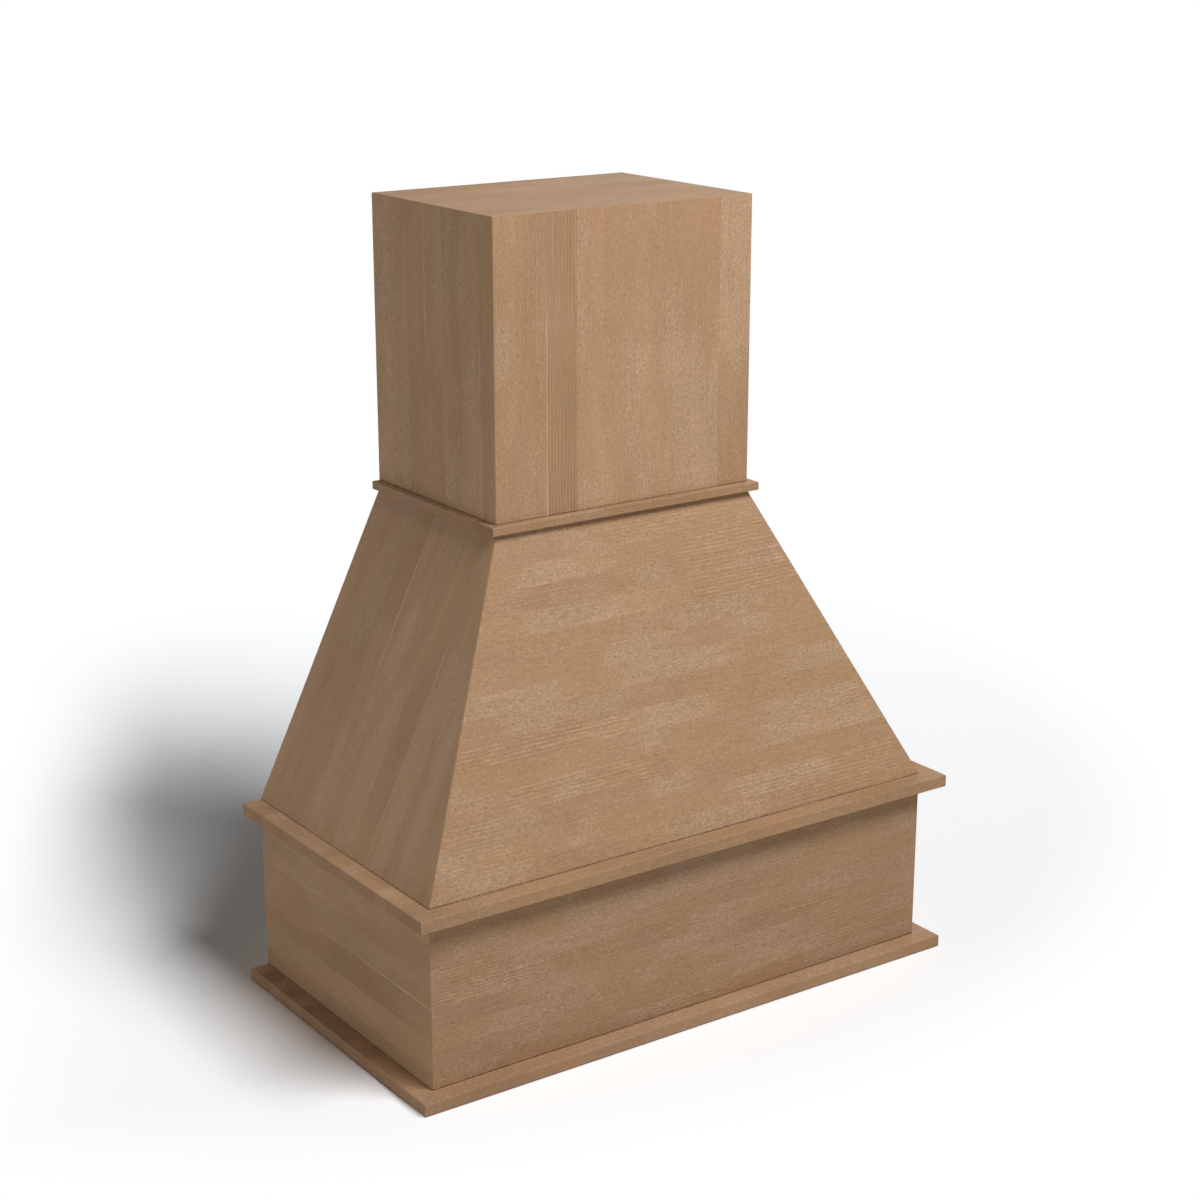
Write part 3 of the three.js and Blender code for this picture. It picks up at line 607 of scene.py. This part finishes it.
# Stretches that were sawn square to the rings, so that their growth lines show: as above, and how strongly
LINED_STAVES = {
    "canopy_front_panel": (
        (14.7, 47, 373, 655, 0.7), (47, 143.9, 510, 720, 1), (273.1, 305.4, 80, 375, 1),
        (305.4, 337.7, 695, 795, 0.7), (337.7, 370, 140, 400, 1), (370, 402.3, 40, 135, 0.8),
        (402.3, 434.6, 25, 165, 0.8), (402.3, 434.6, 507, 830, 0.9), (434.6, 470, 600, 835, 0.9),
    ),
    "apron_front_panel": (
        (68.7, 98.7, 0, 107, 0.8), (98.7, 128.7, 0, 187, 1), (128.7, 158.7, 600, 733, 0.9),
        (188.7, 218.7, 640, 800, 0.9), (218.7, 248.7, 333, 600, 0.8),
    ),
}
STAVES_APART = 40  # so that no two panels start with the same stave

for number, (name, (across, inward, start, width, first, looks)) in enumerate(PANELS.items()):
    section = name.replace("left_panel", "side").replace("right_panel", "side")
    finish_node(name, wood_material(
        "sealed_alder_" + name, across, inward, start, ALDER, dict(looks, stave_width=width),
        across_shift=number * STAVES_APART * width - first,
        ruled=RULED_STAVES.get(name),
        glue_lines=GLUE_LINES.get(section, ()),
        others=OTHER_STAVES.get(section, ()),
        lined=LINED_STAVES.get(section, ()),
        foot=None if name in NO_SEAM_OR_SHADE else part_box(name)[0].z,
    ))


# ---------------------------------------------------------------- battens and screws

BATTEN_STAVE = 400  # wider than any batten, so that each is cut from one piece
BATTEN_FIRST = 200  # from a batten's edge to the edge of the stave that it is cut from
BATTENS_APART = (1300, 3)  # millimetres along the grain, and staves across it, from one batten to the next
BATTEN = {"apart": 1, "shade": 1, "stave_width": BATTEN_STAVE, "stretch": 500, "tone": 0.015, "patches": 0.6,
          "lines": 1, "line_width": 3.5, "flecks": 0.4}


def batten_grain(name):
    """The direction of a batten's grain: its longest side, or from foot to head where it stands or leans."""
    low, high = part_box(name)
    size = high - low
    if size.z < max(size.x, size.y):
        return Vector((1, 0, 0)) if size.x > size.y else Vector((0, 1, 0))
    points = [v.co for v in frame["nodes"][name].data.vertices]
    foot = [p for p in points if p.z - low.z < MM]
    head = [p for p in points if high.z - p.z < MM]
    return (sum(head, Vector()) / len(head) - sum(foot, Vector()) / len(foot)).normalized()


battens = [part["node"] for part in frame["record"]["subparts"] if part["material_slot"] == "poplar_batten"]
for number, name in enumerate(battens):
    grain = batten_grain(name)
    runs_sideways = abs(grain.x) > abs(grain.y) and abs(grain.x) > abs(grain.z)
    beside = grain.cross((0, 1, 0) if runs_sideways else (1, 0, 0)).normalized()
    finish_node(name, wood_material(
        "planed_poplar_" + name, beside, grain.cross(beside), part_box(name)[0], POPLAR, BATTEN,
        along_shift=number * BATTENS_APART[0],
        across_shift=BATTEN_FIRST + number * BATTENS_APART[1] * BATTEN_STAVE,
    ))


def plated_steel():
    """Yellow zinc plate on steel: a brassy sheen, a little uneven from the plating barrel."""
    made = bpy.data.materials.new("yellow_zinc_plate")
    made.use_nodes = True
    tree = made.node_tree
    shader = tree.nodes["Principled BSDF"]
    spot = add(tree, "TexCoord").outputs["Object"]
    grit = add(tree, "TexNoise", {}, {"Vector": spot, "Scale": 1 / (ZINC_GRIT * MM), "Detail": 4})
    shade = add(tree, "ValToRGB", {}, {0: grit})
    shade.color_ramp.elements[0].color = linear(ZINC_DARK)
    shade.color_ramp.elements[1].color = linear(ZINC_LIGHT)
    tree.links.new(shade.outputs[0], shader.inputs["Base Color"])
    rough = add(tree, "MapRange", {}, {"Value": grit, **ZINC_ROUGHNESS})
    tree.links.new(rough.outputs[0], shader.inputs["Roughness"])
    shader.inputs["Metallic"].default_value = 1
    return made


screw_metal = plated_steel()
for part in frame["record"]["subparts"]:
    if part["material_slot"] == "zinc_plated_steel":
        finish_node(part["node"], screw_metal)


# ---------------------------------------------------------------- floor, light and camera

def seen_directly(tree):
    """1 for what the camera sees directly, in a mirror or through glass, and 0 for light on the cover."""
    rays = add(tree, "LightPath").outputs
    shiny = add(tree, "Math", {"operation": "MAXIMUM"}, {0: rays["Is Camera Ray"], 1: rays["Is Glossy Ray"]})
    return add(tree, "Math", {"operation": "MAXIMUM"}, {0: shiny, 1: rays["Is Transmission Ray"]})


def evened_shade(tree, spot):
    """The floor's shade, evened out where the key lamp's light falls off.

    That light falls with distance and slant: the fourth power of the distance, over how far the point lies
    below the lamp and in front of it.
    """
    from_lamp = add(tree, "VectorMath", {"operation": "SUBTRACT"}, {0: spot, 1: KEY_PLACE})
    distance = add(tree, "VectorMath", {"operation": "LENGTH"}, {0: from_lamp}).outputs["Value"]
    power = add(tree, "Math", {"operation": "POWER"}, {0: distance, 1: 4})
    ahead = add(tree, "VectorMath", {"operation": "DOT_PRODUCT"},
                {0: from_lamp, 1: (AIM - KEY_PLACE).normalized() * KEY_PLACE.z}).outputs["Value"]
    even = add(tree, "Math", {"operation": "DIVIDE"}, {0: power, 1: ahead})
    shade = add(tree, "Math", {"operation": "MULTIPLY"}, {0: even, 1: FLOOR_SEEN * math.pi ** 2 / KEY_POWER})
    return add(tree, "VectorMath", {"operation": "SCALE"}, {0: FLOOR_TINT, "Scale": shade})


def white_floor():
    """Matt white paint: it shows the cover's soft shadow, and further away nothing but white."""
    made = bpy.data.materials.new("matt_white_floor")
    made.use_nodes = True
    tree = made.node_tree
    tree.nodes.clear()
    spot = add(tree, "TexCoord").outputs["Object"]
    away = add(tree, "VectorMath", {"operation": "DISTANCE"}, {0: spot, 1: GLOW_MIDDLE}).outputs["Value"]
    round_glow = add(tree, "MapRange", SOFT, {"Value": away, "From Min": GLOW_FROM, "From Max": GLOW_TO})
    aside = add(tree, "VectorMath", {"operation": "DOT_PRODUCT"},
                {0: spot, 1: SIDE_GLOW_WAY}).outputs["Value"]
    side_glow = add(tree, "MapRange", SOFT,
                    {"Value": aside, "From Min": SIDE_GLOW_FROM, "From Max": SIDE_GLOW_TO})
    plain = add(tree, "Math", {"operation": "MAXIMUM"}, {0: round_glow, 1: side_glow})
    lit = add(tree, "BsdfDiffuse", {}, {"Color": (FLOOR_SHADE, FLOOR_SHADE, FLOOR_SHADE, 1)})
    seen_lit = add(tree, "BsdfDiffuse", {}, {"Color": evened_shade(tree, spot)})
    white = add(tree, "Emission", {}, {"Color": (1, 1, 1, 1), "Strength": 1})
    looked = add(tree, "MixShader", {}, {0: plain, 1: seen_lit, 2: white})
    both = add(tree, "MixShader", {}, {0: seen_directly(tree), 1: lit, 2: looked})
    out = add(tree, "OutputMaterial")
    tree.links.new(both.outputs[0], out.inputs["Surface"])
    return made


def floor():
    """A round white floor under the cover, wide enough to fill the view, which only the key lamp lights."""
    mesh = bpy.data.meshes.new("floor")
    angles = [2 * math.pi * corner / FLOOR_CORNERS for corner in range(FLOOR_CORNERS)]
    rim = [(FLOOR_RADIUS * math.cos(angle), FLOOR_RADIUS * math.sin(angle), 0) for angle in angles]
    mesh.from_pydata(rim, [], [tuple(range(FLOOR_CORNERS))])
    made = bpy.data.objects.new("floor", mesh)
    made.location.z = -FLOOR_DROP
    mesh.materials.append(white_floor())
    bpy.context.scene.collection.objects.link(made)
    return made


def sky():
    """White all round where it is seen, and a faint light on the cover."""
    world = bpy.data.worlds.new("studio")
    world.use_nodes = True
    tree = world.node_tree
    strength = add(tree, "MapRange", {}, {"Value": seen_directly(tree), "To Min": SKY_STRENGTH})
    background = tree.nodes["Background"]
    background.inputs["Color"].default_value = (1, 1, 1, 1)
    tree.links.new(strength.outputs[0], background.inputs["Strength"])
    bpy.context.scene.world = world


def lamp(name, place, width, height, power):
    """A soft box that looks at the cover's middle."""
    light = bpy.data.lights.new(name, "AREA")
    light.shape = "RECTANGLE"
    light.size = width
    light.size_y = height
    light.energy = power
    made = bpy.data.objects.new(name, light)
    made.location = place
    made.rotation_euler = (AIM - place).to_track_quat("-Z", "Y").to_euler()
    made.visible_camera = False
    bpy.context.scene.collection.objects.link(made)
    return made


def keep_off(light, thing):
    """Keeps a lamp's light off one object, as a flag on a stand does."""
    shaded = bpy.data.collections.new(light.name + "_flag")
    shaded.objects.link(thing)
    shaded.collection_objects[0].light_linking.link_state = "EXCLUDE"
    light.light_linking.receiver_collection = shaded


def camera():
    """The photograph's viewing angle."""
    lens = bpy.data.cameras.new("camera")
    lens.lens = LENS
    lens.sensor_width = SENSOR
    lens.clip_end = CLIP_END
    made = bpy.data.objects.new("camera", lens)
    place = Vector(CAMERA_PLACE) * MM
    look = (Vector(CAMERA_TARGET) * MM - place).to_track_quat("-Z", "Y").to_matrix()
    made.matrix_world = Matrix.Translation(place) @ (look @ Matrix.Rotation(CAMERA_ROLL, 3, "Z")).to_4x4()
    bpy.context.scene.collection.objects.link(made)
    bpy.context.scene.camera = made


ground = floor()
sky()
lamp("key_lamp", KEY_PLACE, KEY_WIDTH, KEY_HEIGHT, KEY_POWER)
for name, (place, power) in FILLS.items():
    keep_off(lamp(name, place, FILL_WIDTH, FILL_HEIGHT, power), ground)
camera()
bpy.context.scene.view_settings.view_transform = "Standard"
